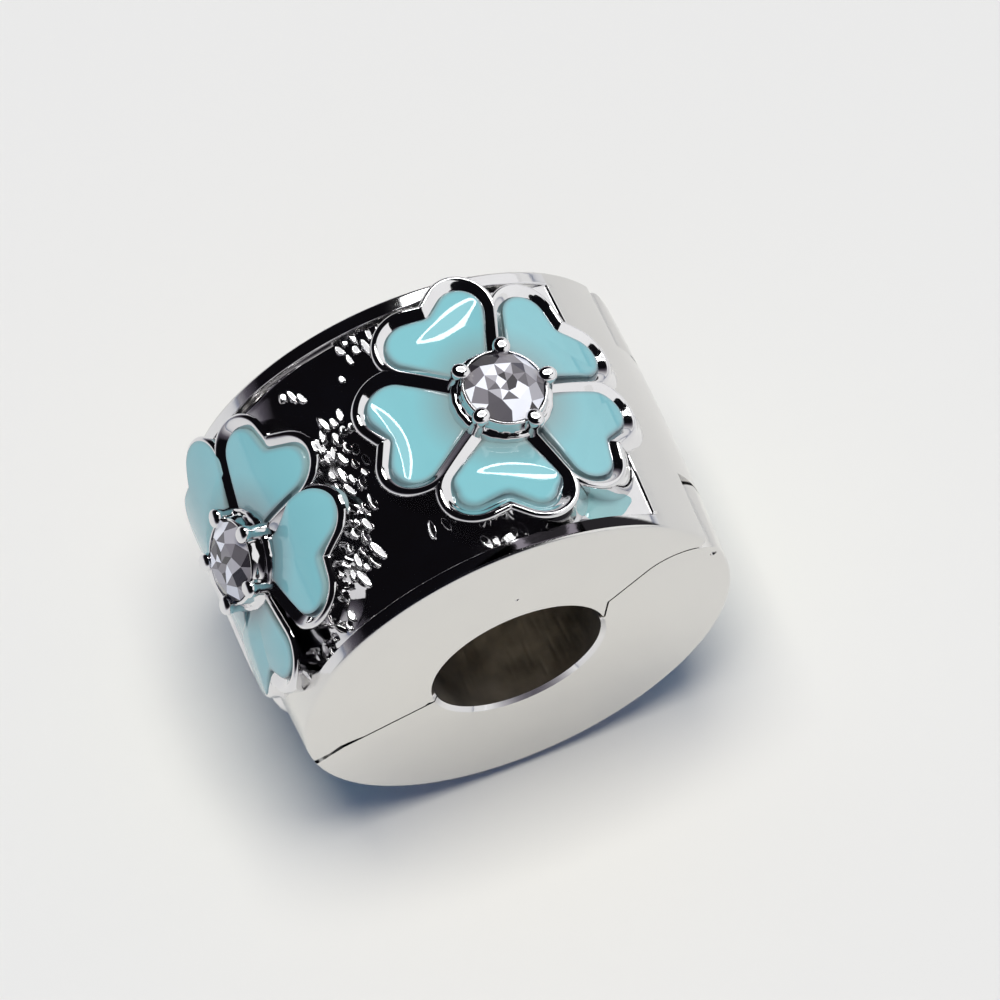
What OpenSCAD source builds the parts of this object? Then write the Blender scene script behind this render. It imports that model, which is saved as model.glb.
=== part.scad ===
// Flower clip charm: a barrel bead in two hinged halves, with enamel flowers and crystal centres.
// Bead frame: the bore runs along Y, the seam lies in Z = 0, the hinge is at +X, the clasp at -X.
// An angle round the bead starts at its top and grows towards the hinge.

/* [Barrel] */
// Diameter of the bore that a bracelet passes through
bore_d = 4.4; // [4:0.1:4.8]
// Length along the bore
barrel_l = 7.6; // [7.4:0.1:9]
// Diameter at the two end faces
end_d = 11.2; // [11:0.1:12]
// Diameter at the middle of the length
belly_d = 11.4; // [11.2:0.1:12.2]
// Rounding of the outer edges
edge_r = 0.2; // [0.1:0.05:0.35]
// Bevel at each mouth of the bore
mouth_bevel = 0.1; // [0.05:0.05:0.2]

/* [Field] */
// Width of the plain rim left at each end
end_rim = 0.35; // [0.25:0.05:0.5]
// Diameter of the sunk ground between the flowers
ground_d = 10.7; // [10.5:0.1:10.9]
// Angle at which the field ends on the hinge side
field_hinge_end = 58; // [54:1:62]
// Angle at which the field ends on the clasp side
field_clasp_end = -83; // [-84:1:-78]

/* [Hinge] */
// Distance of the hinge pin from the bore's axis
pin_x = 4.4; // [4.3:0.05:4.5]
// Diameter of the hinge pin
pin_d = 0.9; // [0.7:0.1:1]
// Radius of the knuckles about the pin
knuckle_r = 1.33; // [1.25:0.01:1.35]
// Length of the middle knuckle, on the upper half
knuckle_l = 3.8; // [3:0.1:4.2]
// Gap between faces that turn past each other
turn_gap = 0.05; // [0.04:0.01:0.08]
// Gap round the pin
pin_gap = 0.02; // [0.02:0.005:0.03]
// Metal left over the pin's hidden end
pin_cover = 0.4; // [0.3:0.1:0.6]
// Place where the seam steps up beside the bore
seam_step = [2.36, 0];
// Top of that step
step_top = [2.62, 0.62];
// Angle about the pin at which the halves part on the outside
part_angle = 52; // [50:1:54]

/* [Clasp] */
// Gap between the halves at the seam
seam_gap = 0.06; // [0.04:0.01:0.1]
// Thickness, width and depth of the hidden tongue
tongue = [0.5, 2.8, 1.1];
// Distance of the tongue from the bore's axis
tongue_x = 3.9; // [3.7:0.1:4.1]
// Room round the tongue in its slot
slot_room = 0.14; // [0.12:0.01:0.2]
// Reach and width of the fingernail bevel along the clasp seam
nail_bevel = [0.65, 0.14];

/* [Flowers] */
// Angles of the two flowers on a half
flower_angles = [26.7, -52.1];
// Turn of each flower about its own stem
flower_turns = [0, 2];
// Distance of the flowers behind the middle of the length
flower_y = 0.15; // [0:0.05:0.2]
// Petals of a flower
petals = 5; // [5:1:5]
// Distance of a petal's two lobes from the stem
lobe_u = 2.45; // [2.4:0.05:2.5]
// Distance of each lobe from the petal's middle line
lobe_v = 0.78; // [0.75:0.01:0.8]
// Radius of a lobe's enamel
lobe_r = 0.66; // [0.6:0.02:0.68]
// Distance of the heart's notch from the stem
notch_u = 2.82; // [2.75:0.01:2.9]
// Width of the metal rim round the enamel
petal_rim = 0.26; // [0.22:0.01:0.28]
// Diameter across the tops of the petal rims
relief_d = 12.1; // [12:0.05:12.2]
// Depth of the pocket that holds the enamel
pocket_depth = 0.32; // [0.25:0.01:0.35]
// Depth of the enamel's face below the rim
enamel_drop = 0.03; // [0.02:0.01:0.06]
// Gap between the enamel and its pocket
enamel_gap = 0.02; // [0.01:0.005:0.03]

/* [Stones] */
// Diameter of a stone at its girdle
stone_d = 1.96; // [1.9:0.02:2]
// Height of the girdle's lower edge above the bore's axis
girdle_z = 6.36; // [6.3:0.02:6.4]
// Thickness of the girdle
girdle_h = 0.06; // [0.04:0.01:0.08]
// Height of the crown
crown_h = 0.26; // [0.24:0.01:0.3]
// Depth of the pavilion
pavilion_h = 0.8; // [0.7:0.02:0.84]
// Diameter of the table as a share of the girdle's
table_share = 0.56; // [0.52:0.01:0.6]
// Gap between the stone and its setting
stone_gap = 0.025; // [0.02:0.005:0.03]
// Outer diameter of the collet under the stone
collet_d = 2.2; // [2.16:0.02:2.3]
// Distance of the claws from the stem
claw_u = 1.1; // [1.08:0.01:1.12]
// Diameter of a claw's ball
claw_d = 0.44; // [0.4:0.02:0.48]
// Height of the balls above the girdle's lower edge
claw_lift = 0.06; // [0.04:0.01:0.08]

/* [Rest] */
// Lean of the bead as it lies on the petals beside the gap between its lower flowers
rest_lean = 12.7; // [12:0.1:13.5]

/* [Hidden] */
$fn = 64;
flowers = 2 * len(flower_angles);
function petal_name(f, p) = str("petal_", f, "_", p);
function stone_name(f) = str("stone_", f);

silver = [0.83, 0.83, 0.84];
steel = [0.62, 0.63, 0.65];
turquoise = [0.5, 0.79, 0.78];
crystal = [0.9, 0.93, 0.96];

bore_r = bore_d / 2;
half_l = barrel_l / 2;
end_r = end_d / 2;
belly_r = belly_d / 2;
ground_r = ground_d / 2;
relief_r = relief_d / 2;
pocket_r = relief_r - pocket_depth;
root_r = ground_r - 0.3;
girdle_r = stone_d / 2;
sector = 180 / petals;
facets = 8;
past = 2;
// Share of a lobe's radius at which the heart's straight sides run into it
lap = 0.97;
barrel_steps = 6;
edge_steps = 4;

// The barrel's outer edge bows out from the end diameter to the belly.
function bow(y) = belly_r - (belly_r - end_r) * pow(y / half_l, 2);

// Half of the outline on one side of the middle, from the end face's edge inwards.
edge_arc = [for (i = [0:edge_steps])
    let (a = 90 - 90 * i / edge_steps, y = half_l - edge_r)
    [bow(y) - edge_r + edge_r * cos(a), y + edge_r * sin(a)]];
bow_arc = [for (i = [1:barrel_steps])
    let (y = (half_l - edge_r) * (1 - i / barrel_steps)) [bow(y), y]];
back_outline = concat(edge_arc, bow_arc);
front_outline = [for (i = [len(back_outline) - 2:-1:0]) [back_outline[i][0], -back_outline[i][1]]];
bore_outline = [
    [bore_r + mouth_bevel, -half_l], [bore_r, mouth_bevel - half_l],
    [bore_r, half_l - mouth_bevel], [bore_r + mouth_bevel, half_l]
];

// The seam climbs a ramp that meets the knuckle's circle as a tangent.
function unit(v) = v / norm(v);
ramp_reach = norm([pin_x, 0] - step_top);
ramp_angle = atan2(step_top[1], step_top[0] - pin_x) - acos(knuckle_r / ramp_reach);
ramp_normal = [cos(ramp_angle), sin(ramp_angle)];
step_run = unit(step_top - seam_step);
step_normal = [-step_run[1], step_run[0]];

// The ramp's corner, moved out by a gap along both of its faces.
function grown_top(gap) =
    step_top + gap * (ramp_normal + step_normal) / (1 + ramp_normal * step_normal);
function grown_foot(gap) =
    let (foot = seam_step + gap * step_normal, run = (foot[1] + 1) / step_run[1])
    foot - run * step_run;

// A claw and a petal's middle line both lie on a spoke of the flower.
function petal_turn(p) = 180 - 2 * sector * (p - 1);
function claw_turn(p) = petal_turn(p) + sector;

module lain() rotate([0, -rest_lean, 0]) children();

module side(f) {
    if (f > len(flower_angles)) mirror([0, 0, 1]) children();
    else children();
}

// Stands the children on the bead with the flower's stem as their Z.
module at_flower(i) {
    translate([0, flower_y, 0])
        rotate([0, flower_angles[i], 0])
            rotate([0, 0, flower_turns[i]])
                children();
}

// Extrudes an outline drawn in X and Z along the bore.
module along(from_y, to_y) {
    translate([0, to_y, 0]) rotate([90, 0, 0]) linear_extrude(to_y - from_y) children();
}

module rod(r, from_y, to_y) {
    translate([0, to_y, 0]) rotate([90, 0, 0]) cylinder(r = r, h = to_y - from_y);
}

module barrel() {
    rotate([-90, 0, 0]) rotate_extrude() polygon(concat(bore_outline, back_outline, front_outline));
}

// The sunk ground between the end rims, from the clasp side round to the hinge side.
module field() {
    depth = belly_r - ground_r + past;
    width = barrel_l - 2 * end_rim;
    rotate([0, field_hinge_end - 90, 0]) rotate([90, 0, 0])
        rotate_extrude(angle = field_hinge_end - field_clasp_end)
            translate([ground_r, -width / 2]) square([depth, width]);
}

module bare_barrel() {
    difference() {
        barrel();
        field();
    }
}

// One ear's outline above the seam: the knuckle's circle and the ramp up to it.
module ear_outline(gap) {
    translate([pin_x, 0]) circle(r = knuckle_r + gap);
    polygon([
        [pin_x, 0], [pin_x, 0] + (knuckle_r + gap) * ramp_normal,
        grown_top(gap), grown_foot(gap), [pin_x, -1]
    ]);
}

// The wedge outside the pin in which the outer ends of the halves pass each other.
module swing_outline() {
    reach = past + knuckle_r;
    polygon([
        [pin_x, 0], [pin_x + reach, 0],
        [pin_x + reach, reach * sin(part_angle)],
        [pin_x + reach * cos(part_angle), reach * sin(part_angle)]
    ]);
}

module half_space() {
    size = belly_d + 2 * past;
    translate([-size / 2, -size / 2, seam_gap / 2]) cube([size, size, size / 2]);
}

// One petal's heart, with its tip towards the stem, grown by a rim.
module heart(rim) {
    r = lobe_r + rim;
    inner = r * lap;
    side_touch = [lobe_u - inner * sin(sector), lobe_v + inner * cos(sector)];
    tip = side_touch[0] - side_touch[1] / tan(sector);
    notch_run = norm([notch_u - lobe_u, lobe_v]);
    notch_turn = acos(lobe_r / notch_run) - atan2(lobe_v, notch_u - lobe_u);
    notch_touch = [lobe_u + inner * cos(notch_turn), lobe_v + inner * sin(notch_turn)];
    notch = notch_u + rim / cos(notch_turn);
    for (v = [-lobe_v, lobe_v]) translate([lobe_u, v]) circle(r = r);
    polygon([
        [tip, 0], [side_touch[0], -side_touch[1]], [notch_touch[0], -notch_touch[1]],
        [notch, 0], notch_touch, side_touch
    ]);
}

// Everything between two radii about the bore.
module ring(inner_r, outer_r) {
    difference() {
        rod(outer_r, -half_l, half_l);
        rod(inner_r, -half_l - 1, half_l + 1);
    }
}

// The room that a stone takes up in its setting.
module stone_room() {
    wide = girdle_r + stone_gap;
    translate([0, 0, girdle_z - pavilion_h - stone_gap])
        cylinder(r1 = stone_gap, r2 = wide, h = pavilion_h);
    translate([0, 0, girdle_z - stone_gap]) cylinder(r = wide, h = girdle_h + 2 * stone_gap);
    translate([0, 0, girdle_z + girdle_h + stone_gap])
        cylinder(r1 = wide, r2 = wide * table_share, h = crown_h);
}

// The collet and its ball-tipped claws, before the stone's room is cut.
module setting() {
    translate([0, 0, root_r])
        cylinder(d = collet_d, h = girdle_z - stone_gap - root_r, $fn = 32);
    for (p = [1:petals]) rotate([0, 0, claw_turn(p)]) translate([claw_u, 0, 0]) {
        translate([0, 0, root_r])
            cylinder(d = claw_d, h = girdle_z + claw_lift - root_r, $fn = 20);
        translate([0, 0, girdle_z + claw_lift]) sphere(d = claw_d, $fn = 20);
    }
}

// The cast flower: five hearts with pockets for the enamel, and the setting in their middle.
module flower(i) {
    intersection() {
        at_flower(i) linear_extrude(relief_r + 1)
            for (p = [1:petals]) rotate(petal_turn(p)) heart(petal_rim);
        ring(root_r, relief_r);
    }
    at_flower(i) setting();
}

module pockets(i) {
    difference() {
        at_flower(i) linear_extrude(relief_r + 1) difference() {
            for (p = [1:petals]) rotate(petal_turn(p)) heart(0);
            circle(d = collet_d, $fn = 32);
            for (p = [1:petals]) rotate(claw_turn(p)) translate([claw_u, 0]) circle(d = claw_d, $fn = 20);
        }
        rod(pocket_r, -half_l - 1, half_l + 1);
    }
}

// A half barrel with its two flowers, still without hinge and clasp.
module flowered_half() {
    difference() {
        intersection() {
            union() {
                bare_barrel();
                for (i = [0:len(flower_angles) - 1]) flower(i);
            }
            half_space();
        }
        for (i = [0:len(flower_angles) - 1]) {
            pockets(i);
            at_flower(i) stone_room();
        }
    }
}

module upper_shell() {
    ear_from = knuckle_l / 2;
    color(silver) lain() difference() {
        union() {
            flowered_half();
            intersection() {
                barrel();
                translate([pin_x, 0, 0]) rod(knuckle_r, -knuckle_l / 2, knuckle_l / 2);
            }
            translate([-tongue_x - tongue[0] / 2, -tongue[1] / 2, -tongue[2]])
                cube(tongue + [0, 0, 0.3]);
        }
        for (end = [[-half_l - 1, -ear_from], [ear_from, half_l + 1]]) along(end[0], end[1]) {
            ear_outline(turn_gap);
            swing_outline();
        }
        translate([pin_x, 0, 0]) rod(pin_d / 2 + pin_gap, -half_l, half_l);
    }
}

module lower_shell() {
    ear_from = knuckle_l / 2 + turn_gap;
    color(silver) lain() difference() {
        union() {
            mirror([0, 0, 1]) flowered_half();
            for (end = [[-half_l - 1, -ear_from], [ear_from, half_l + 1]]) intersection() {
                barrel();
                along(end[0], end[1]) ear_outline(0);
            }
        }
        along(-ear_from, ear_from) {
            translate([pin_x, 0]) circle(r = knuckle_r + turn_gap);
            mirror([0, 1]) swing_outline();
        }
        translate([pin_x, 0, 0]) rod(pin_d / 2 + pin_gap, pin_cover - half_l, half_l + 1);
        translate([-tongue_x - tongue[0] / 2 - slot_room, -tongue[1] / 2 - slot_room, -tongue[2] - slot_room])
            cube(tongue + 2 * [slot_room, slot_room, slot_room]);
        along(-half_l - 1, half_l + 1) polygon([
            [-end_r - 1, 0], [-end_r - 1, -nail_bevel[1]],
            [-end_r, -nail_bevel[1]], [nail_bevel[0] - end_r, 0]
        ]);
    }
}

module hinge_pin() {
    color(steel) lain() translate([pin_x, 0, 0])
        rod(pin_d / 2, pin_cover + pin_gap - half_l, half_l - 0.02);
}

module petal(f, p) {
    i = (f - 1) % len(flower_angles);
    color(turquoise) lain() side(f) intersection() {
        at_flower(i) linear_extrude(relief_r + 1) difference() {
            rotate(petal_turn(p)) heart(-enamel_gap);
            circle(d = collet_d + 2 * enamel_gap, $fn = 32);
            for (q = [1:petals]) rotate(claw_turn(q)) translate([claw_u, 0])
                circle(d = claw_d + 2 * enamel_gap, $fn = 20);
        }
        ring(pocket_r + enamel_gap, relief_r - enamel_drop);
    }
}

// A brilliant: table, stars, kites and girdle facets above, mains and girdle facets below.
module brilliant() {
    step = 360 / facets;
    half_step = step / 2;
    table_r = girdle_r * table_share;
    star_r = girdle_r * (1 + table_share) / 2;
    crown_slope = crown_h / (girdle_r - table_r);
    star_z = girdle_h + crown_h - (star_r * cos(half_step) - table_r) * crown_slope;
    low_r = girdle_r * 0.45;
    low_z = -pavilion_h + low_r * cos(half_step) * pavilion_h / girdle_r;
    function ring_at(r, z, start, count) =
        [for (i = [0:count - 1]) [r * cos(start + i * 360 / count), r * sin(start + i * 360 / count), z]];
    points = concat(
        ring_at(table_r, girdle_h + crown_h, 0, facets),
        ring_at(star_r, star_z, half_step, facets),
        ring_at(girdle_r, girdle_h, 0, 2 * facets),
        ring_at(girdle_r, 0, 0, 2 * facets),
        ring_at(low_r, low_z, half_step, facets),
        [[0, 0, -pavilion_h]]
    );
    star = facets;
    top = 2 * facets;
    base = 4 * facets;
    low = 6 * facets;
    culet = 7 * facets;
    function next(i) = (i + 1) % facets;
    function rim_next(i) = (i + 1) % (2 * facets);
    faces = concat(
        [[for (i = [facets - 1:-1:0]) i]],
        [for (i = [0:facets - 1]) [i, next(i), star + i]],
        [for (i = [0:facets - 1]) each [
            [star + i, top + 2 * i + 1, top + 2 * i],
            [star + i, top + rim_next(2 * i + 1), top + 2 * i + 1],
            [i, star + i, top + 2 * i],
            [next(i), top + 2 * next(i), star + i]
        ]],
        [for (i = [0:2 * facets - 1]) [top + i, top + rim_next(i), base + rim_next(i), base + i]],
        [for (i = [0:facets - 1]) each [
            [low + i, base + 2 * i, base + 2 * i + 1],
            [low + i, base + 2 * i + 1, base + rim_next(2 * i + 1)],
            [culet, base + 2 * i, low + i],
            [culet, low + i, base + 2 * next(i)]
        ]]
    );
    polyhedron(points, faces);
}

module stone(f) {
    i = (f - 1) % len(flower_angles);
    color(crystal) lain() side(f) at_flower(i) translate([0, 0, girdle_z]) brilliant();
}

upper_shell();
lower_shell();
hinge_pin();
for (f = [1:flowers]) {
    for (p = [1:petals]) petal(f, p);
    stone(f);
}
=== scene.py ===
import math

import bmesh
import bpy
import numpy as np
from mathutils import Matrix, Vector


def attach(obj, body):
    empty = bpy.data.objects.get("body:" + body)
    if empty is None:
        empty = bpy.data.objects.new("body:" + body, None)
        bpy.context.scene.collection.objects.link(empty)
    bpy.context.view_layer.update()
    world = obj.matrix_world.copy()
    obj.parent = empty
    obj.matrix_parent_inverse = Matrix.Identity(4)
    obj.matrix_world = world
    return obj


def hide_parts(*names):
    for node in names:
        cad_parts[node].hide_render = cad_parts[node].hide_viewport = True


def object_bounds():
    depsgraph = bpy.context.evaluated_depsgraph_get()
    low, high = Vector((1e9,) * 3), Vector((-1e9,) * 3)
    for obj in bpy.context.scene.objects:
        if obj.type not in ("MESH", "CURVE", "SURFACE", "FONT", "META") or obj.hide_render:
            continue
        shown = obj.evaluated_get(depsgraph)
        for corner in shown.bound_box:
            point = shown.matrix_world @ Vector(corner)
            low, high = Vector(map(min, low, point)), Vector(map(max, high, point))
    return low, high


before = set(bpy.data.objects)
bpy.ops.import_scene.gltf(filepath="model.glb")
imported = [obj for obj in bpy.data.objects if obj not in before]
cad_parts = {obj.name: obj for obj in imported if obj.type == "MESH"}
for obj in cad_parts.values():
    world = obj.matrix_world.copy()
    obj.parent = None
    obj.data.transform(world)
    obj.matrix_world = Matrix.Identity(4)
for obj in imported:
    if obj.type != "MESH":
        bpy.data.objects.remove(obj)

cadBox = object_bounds()
toMetres = 0.001

# Every shape is drawn in millimetres on the upright bead: the bore runs along Y, the seam is Z = 0,
# the hinge is at +X. An angle round the bead starts at its top and grows towards the hinge.
bead = {
    "boreRadius": 2.2, "endRadius": 5.6, "bellyRadius": 5.7,
    "halfLength": round((cadBox[1][1] - cadBox[0][1]) / 2 / toMetres, 2),
    "edgeRound": 0.07, "mouthBevel": 0.1, "seamGap": 0.03, "restLean": 12.7,
    "castSeeds": {"upper": 11, "lower": 47},
}
lean = math.radians(bead["restLean"])


def atRest(points):
    # leans drawn points over to the way the bead rests, in metres
    x, y, z = np.asarray(points, float).T
    leaned = [x * math.cos(lean) - z * math.sin(lean), y, x * math.sin(lean) + z * math.cos(lean)]
    return toMetres * np.stack(leaned, axis=1)


def mirrorDown(points):
    return np.asarray(points) * np.array([1, 1, -1])


def eased(share):
    # a share between 0 and 1, made soft at both ends
    return share * share * (3 - 2 * share)


def fullTurn(count):
    return np.linspace(0, 2 * math.pi, count, endpoint=False)


def roundBead(turn, y, radius):
    # points at angles round the bead, places along it and radii about the bore
    return np.stack([radius * np.sin(turn), y, radius * np.cos(turn)], axis=-1).reshape(-1, 3)


def domed(sizes, power, height, base=0.0):
    # layers of a form with a rounded top: each one's size and height
    return [(size, base + height * max(1 - size ** power, 0) ** (1 / power)) for size in sizes]


# Meshes

def meshObject(name, points, faces):
    mesh = bpy.data.meshes.new(name)
    mesh.from_pydata(np.asarray(points, float).tolist(), [], [list(map(int, face)) for face in faces])
    piece = bpy.data.objects.new(name, mesh)
    bpy.context.scene.collection.objects.link(piece)
    return piece


def gridFaces(rows, columns, wrapped=False, start=0):
    # four-sided faces between rows of points, round to the first column again if wrapped
    faces = []
    for r in range(rows - 1):
        a, b = start + r * columns, start + (r + 1) * columns
        for c in range(columns if wrapped else columns - 1):
            d = (c + 1) % columns
            faces.append((a + c, a + d, b + d, b + c))
    return faces


def fanFaces(first, count, tip):
    # three-sided faces between a ring of points and one point
    return [(first + k, first + (k + 1) % count, tip) for k in range(count)]


def closedFaces(rings, count):
    # the sides of a form made of rings of points, then its two ends
    ends = [tuple(range(count)), tuple((rings - 1) * count + k for k in range(count))]
    return gridFaces(rings, count, True) + ends


def tidyMesh(piece, weld=0.0):
    # joins points closer than weld, and turns every face outward
    work = bmesh.new()
    work.from_mesh(piece.data)
    if weld:
        bmesh.ops.remove_doubles(work, verts=work.verts, dist=weld)
        bmesh.ops.dissolve_degenerate(work, edges=work.edges, dist=weld)
        borders = [edge for edge in work.edges if edge.is_boundary]
        bmesh.ops.holes_fill(work, edges=borders, sides=0)
    bmesh.ops.recalc_face_normals(work, faces=work.faces)
    work.to_mesh(piece.data)
    work.free()


def addPart(piece, points, faces, weld=0.0):
    # joins another closed form to a piece
    other = meshObject("part", points, faces)
    tidyMesh(other, weld)
    work = bmesh.new()
    work.from_mesh(piece.data)
    work.from_mesh(other.data)
    work.to_mesh(piece.data)
    work.free()
    bpy.data.meshes.remove(other.data)


def readRows(items, name):
    # three numbers for each vertex or face of a mesh
    values = np.empty(len(items) * 3)
    items.foreach_get(name, values)
    return values.reshape(-1, 3)


def addShares(piece, name, domain, values):
    # a value per vertex or face that a material reads
    shares = piece.data.attributes.new(name, "FLOAT", domain)
    shares.data.foreach_set("value", np.asarray(values, np.float32))


def finishPiece(piece, body, materials, sharpAngle, replaced=()):
    mesh = piece.data
    mesh.vertices.foreach_set("co", atRest(readRows(mesh.vertices, "co")).ravel())
    mesh.update()
    mesh.shade_smooth()
    mesh.set_sharp_from_angle(angle=math.radians(sharpAngle))
    for material in materials:
        mesh.materials.append(material)
    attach(piece, body)
    if replaced:
        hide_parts(*replaced)
    return piece


# Noise shared by the cast surfaces

# large numbers that scatter the cells
scatter = {"cell": (374761393, 668265263, 2147483647), "seed": 974634777, "again": 1274126177}


def latticeValue(cell, seed):
    # a fixed value between 0 and 1 for each whole-numbered cell
    x, y, z = (cell[..., k] * scatter["cell"][k] for k in range(3))
    mixed = (x + y + z + seed * scatter["seed"]) & 0xFFFFFFFF
    mixed = ((mixed ^ (mixed >> 13)) * scatter["again"]) & 0xFFFFFFFF
    return ((mixed ^ (mixed >> 16)) & 0xFFFF) / 0xFFFF


def smoothNoise(points, size, seed):
    # soft lattice noise between -1 and 1, the same on each run
    p = np.asarray(points) / size
    base = np.floor(p).astype(np.int64)
    part = eased(p - base)
    total = np.zeros(len(p))
    for corner in range(8):
        step = np.array([corner & 1, corner >> 1 & 1, corner >> 2 & 1])
        weight = np.prod(np.where(step, part, 1 - part), axis=1)
        total += (2 * latticeValue(base + step, seed) - 1) * weight
    return total


# The flower's plan

# Flowers 1 and 2 are on the upper half. Flowers 3 and 4 repeat them on the lower half.
flower = {
    # angles round the bead, turns about their own stems and place along the bead
    "angles": (26.7, -52.1), "turns": (0.0, 2.0), "y": 0.15, "petals": 5, "numbers": (1, 2, 3, 4),
    # the heart: its two lobes, its notch and where it starts, measured from the stem
    "lobeOut": 2.45, "lobeSide": 0.78, "lobeRadius": 0.66, "notch": 2.82, "start": 0.9,
    # how far apart the points of its outline are, and how its corners are softened
    "spacing": 0.042, "lobePoints": 60, "softNotch": 0.05, "softReach": 8,
    # petals that sit a little askew: flower and petal, degrees
    "askew": {(2, 5): -11.0},
    # petals whose enamel stops short of the rim at the notch: flower and petal, mm
    "short": {(1, 5): 0.15}, "shortFrom": 2.05, "shortRun": 0.5,
}
petals = range(1, flower["petals"] + 1)


def evenlySpaced(path):
    # points a fixed way apart round a closed path
    closed = np.vstack([path, path[:1]])
    length = np.concatenate([[0], np.cumsum(np.hypot(*np.diff(closed, axis=0).T))])
    count = 2 * int(length[-1] / flower["spacing"] / 2)
    spot = np.arange(count) * length[-1] / count
    return np.stack([np.interp(spot, length, closed[:, k]) for k in (0, 1)], axis=1)


def heartOutline():
    # one petal's enamel edge in its own plane, the stem at the origin, and the outward directions
    half = math.pi / flower["petals"]
    radius, out, side = flower["lobeRadius"], flower["lobeOut"], flower["lobeSide"]
    reach = math.hypot(flower["notch"] - out, side)
    notchTurn = math.acos(radius / reach) - math.atan2(side, flower["notch"] - out)
    touch = np.array([out - radius * math.sin(half), side + radius * math.cos(half)])
    begin = touch - (touch[0] - flower["start"]) * np.array([1, math.tan(half)])
    arc = np.linspace(math.pi / 2 + half, notchTurn, flower["lobePoints"])
    lobe = np.stack([out + radius * np.cos(arc), side + radius * np.sin(arc)], axis=1)
    path = np.vstack([[flower["start"], 0], begin, lobe, [flower["notch"], 0]])
    even = evenlySpaced(np.vstack([path, path[-2:0:-1] * [1, -1]]))
    # soften the corners a little
    width = flower["softNotch"] / flower["spacing"]
    steps = np.arange(-flower["softReach"], flower["softReach"] + 1)
    kernel = np.exp(-0.5 * (steps / width) ** 2)
    kernel /= kernel.sum()
    soft = sum(share * np.roll(even, -int(step), axis=0) for share, step in zip(kernel, steps))
    along = np.roll(soft, -1, axis=0) - np.roll(soft, 1, axis=0)
    along /= np.hypot(*along.T)[:, None]
    return soft, np.stack([-along[:, 1], along[:, 0]], axis=1)


heart, heartOut = heartOutline()


def petalTurn(p, number=None):
    # the direction of a petal from the stem, askew only where a flower's number is given
    return math.radians(180 - 360 / flower["petals"] * (p - 1) + flower["askew"].get((number, p), 0.0))


def shortBy(u, number, p):
    # how much further in the enamel's edge lies at a distance along the petal
    share = np.clip((u - flower["shortFrom"]) / flower["shortRun"], 0, 1)
    return flower["short"].get((number, p), 0.0) * eased(share)


def planIndex(number):
    return (number - 1) % 2


def bodyOf(number):
    return "upper" if number < 3 else "lower"


def onItsHalf(points, number):
    return mirrorDown(points) if bodyOf(number) == "lower" else points


def turned(points, angle):
    c, s = math.cos(angle), math.sin(angle)
    return points @ np.array([[c, s], [-s, c]])


def alongStem(points, index):
    angle = math.radians(flower["angles"][index])
    x, y, z = np.asarray(points, float).T
    return np.stack([x * math.cos(angle) + z * math.sin(angle), y + flower["y"],
                     z * math.cos(angle) - x * math.sin(angle)], axis=1)


def onBead(plan, radius, index):
    # lays plan points on the bead, at a radius about the bore, straight along the stem
    spun = turned(plan, math.radians(flower["turns"][index]))
    x, y = spun[:, 0], spun[:, 1]
    z = np.sqrt(np.asarray(radius) ** 2 - x ** 2)
    return alongStem(np.stack([x, y, z], axis=1), index)


# Materials

def newMaterial(name):
    material = bpy.data.materials.new(name)
    material.use_nodes = True
    return material, material.node_tree.nodes["Principled BSDF"]


def setSockets(node, values):
    for label, value in values.items():
        node.inputs[label].default_value = value


def newNode(tree, kind, values=None, **settings):
    node = tree.nodes.new(kind)
    for name, value in settings.items():
        setattr(node, name, value)
    setSockets(node, values or {})
    return node


def wire(source, output, target, entry):
    source.id_data.links.new(source.outputs[output], target.inputs[entry])


# waves of the surface and finer ones on top, and the noise values between which roughness runs
wearPattern = {"detail": 3, "fineDetail": 2, "fineTimes": 9, "fineShare": 0.25, "range": (0.3, 0.7)}


def buildSurfaceWear():
    # roughness, a mottling mask and fine relief for every hard surface here
    group = bpy.data.node_groups.new("surfaceWear", "ShaderNodeTree")
    for way, labels in (("INPUT", ("Scale", "Low", "High")), ("OUTPUT", ("Roughness", "Mottle", "Height"))):
        for label in labels:
            group.interface.new_socket(name=label, in_out=way, socket_type="NodeSocketFloat")
    entry = newNode(group, "NodeGroupInput")
    leave = newNode(group, "NodeGroupOutput")
    place = newNode(group, "ShaderNodeTexCoord")
    waves = newNode(group, "ShaderNodeTexNoise", {"Detail": wearPattern["detail"]})
    fine = newNode(group, "ShaderNodeTexNoise", {"Detail": wearPattern["fineDetail"]})
    finer = newNode(group, "ShaderNodeMath", {1: wearPattern["fineTimes"]}, operation="MULTIPLY")
    height = newNode(group, "ShaderNodeMath", {1: wearPattern["fineShare"]}, operation="MULTIPLY_ADD")
    low, high = wearPattern["range"]
    spread = newNode(group, "ShaderNodeMapRange", {"From Min": low, "From Max": high})
    wire(place, "Object", waves, "Vector")
    wire(place, "Object", fine, "Vector")
    wire(entry, "Scale", waves, "Scale")
    wire(entry, "Scale", finer, 0)
    wire(finer, 0, fine, "Scale")
    wire(fine, "Fac", height, 0)
    wire(waves, "Fac", height, 2)
    wire(height, 0, leave, "Height")
    wire(waves, "Fac", leave, "Mottle")
    wire(waves, "Fac", spread, "Value")
    wire(entry, "Low", spread, "To Min")
    wire(entry, "High", spread, "To Max")
    wire(spread, "Result", leave, "Roughness")
    return group


surfaceWear = buildSurfaceWear()
reliefDistance = 0.00001


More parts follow.
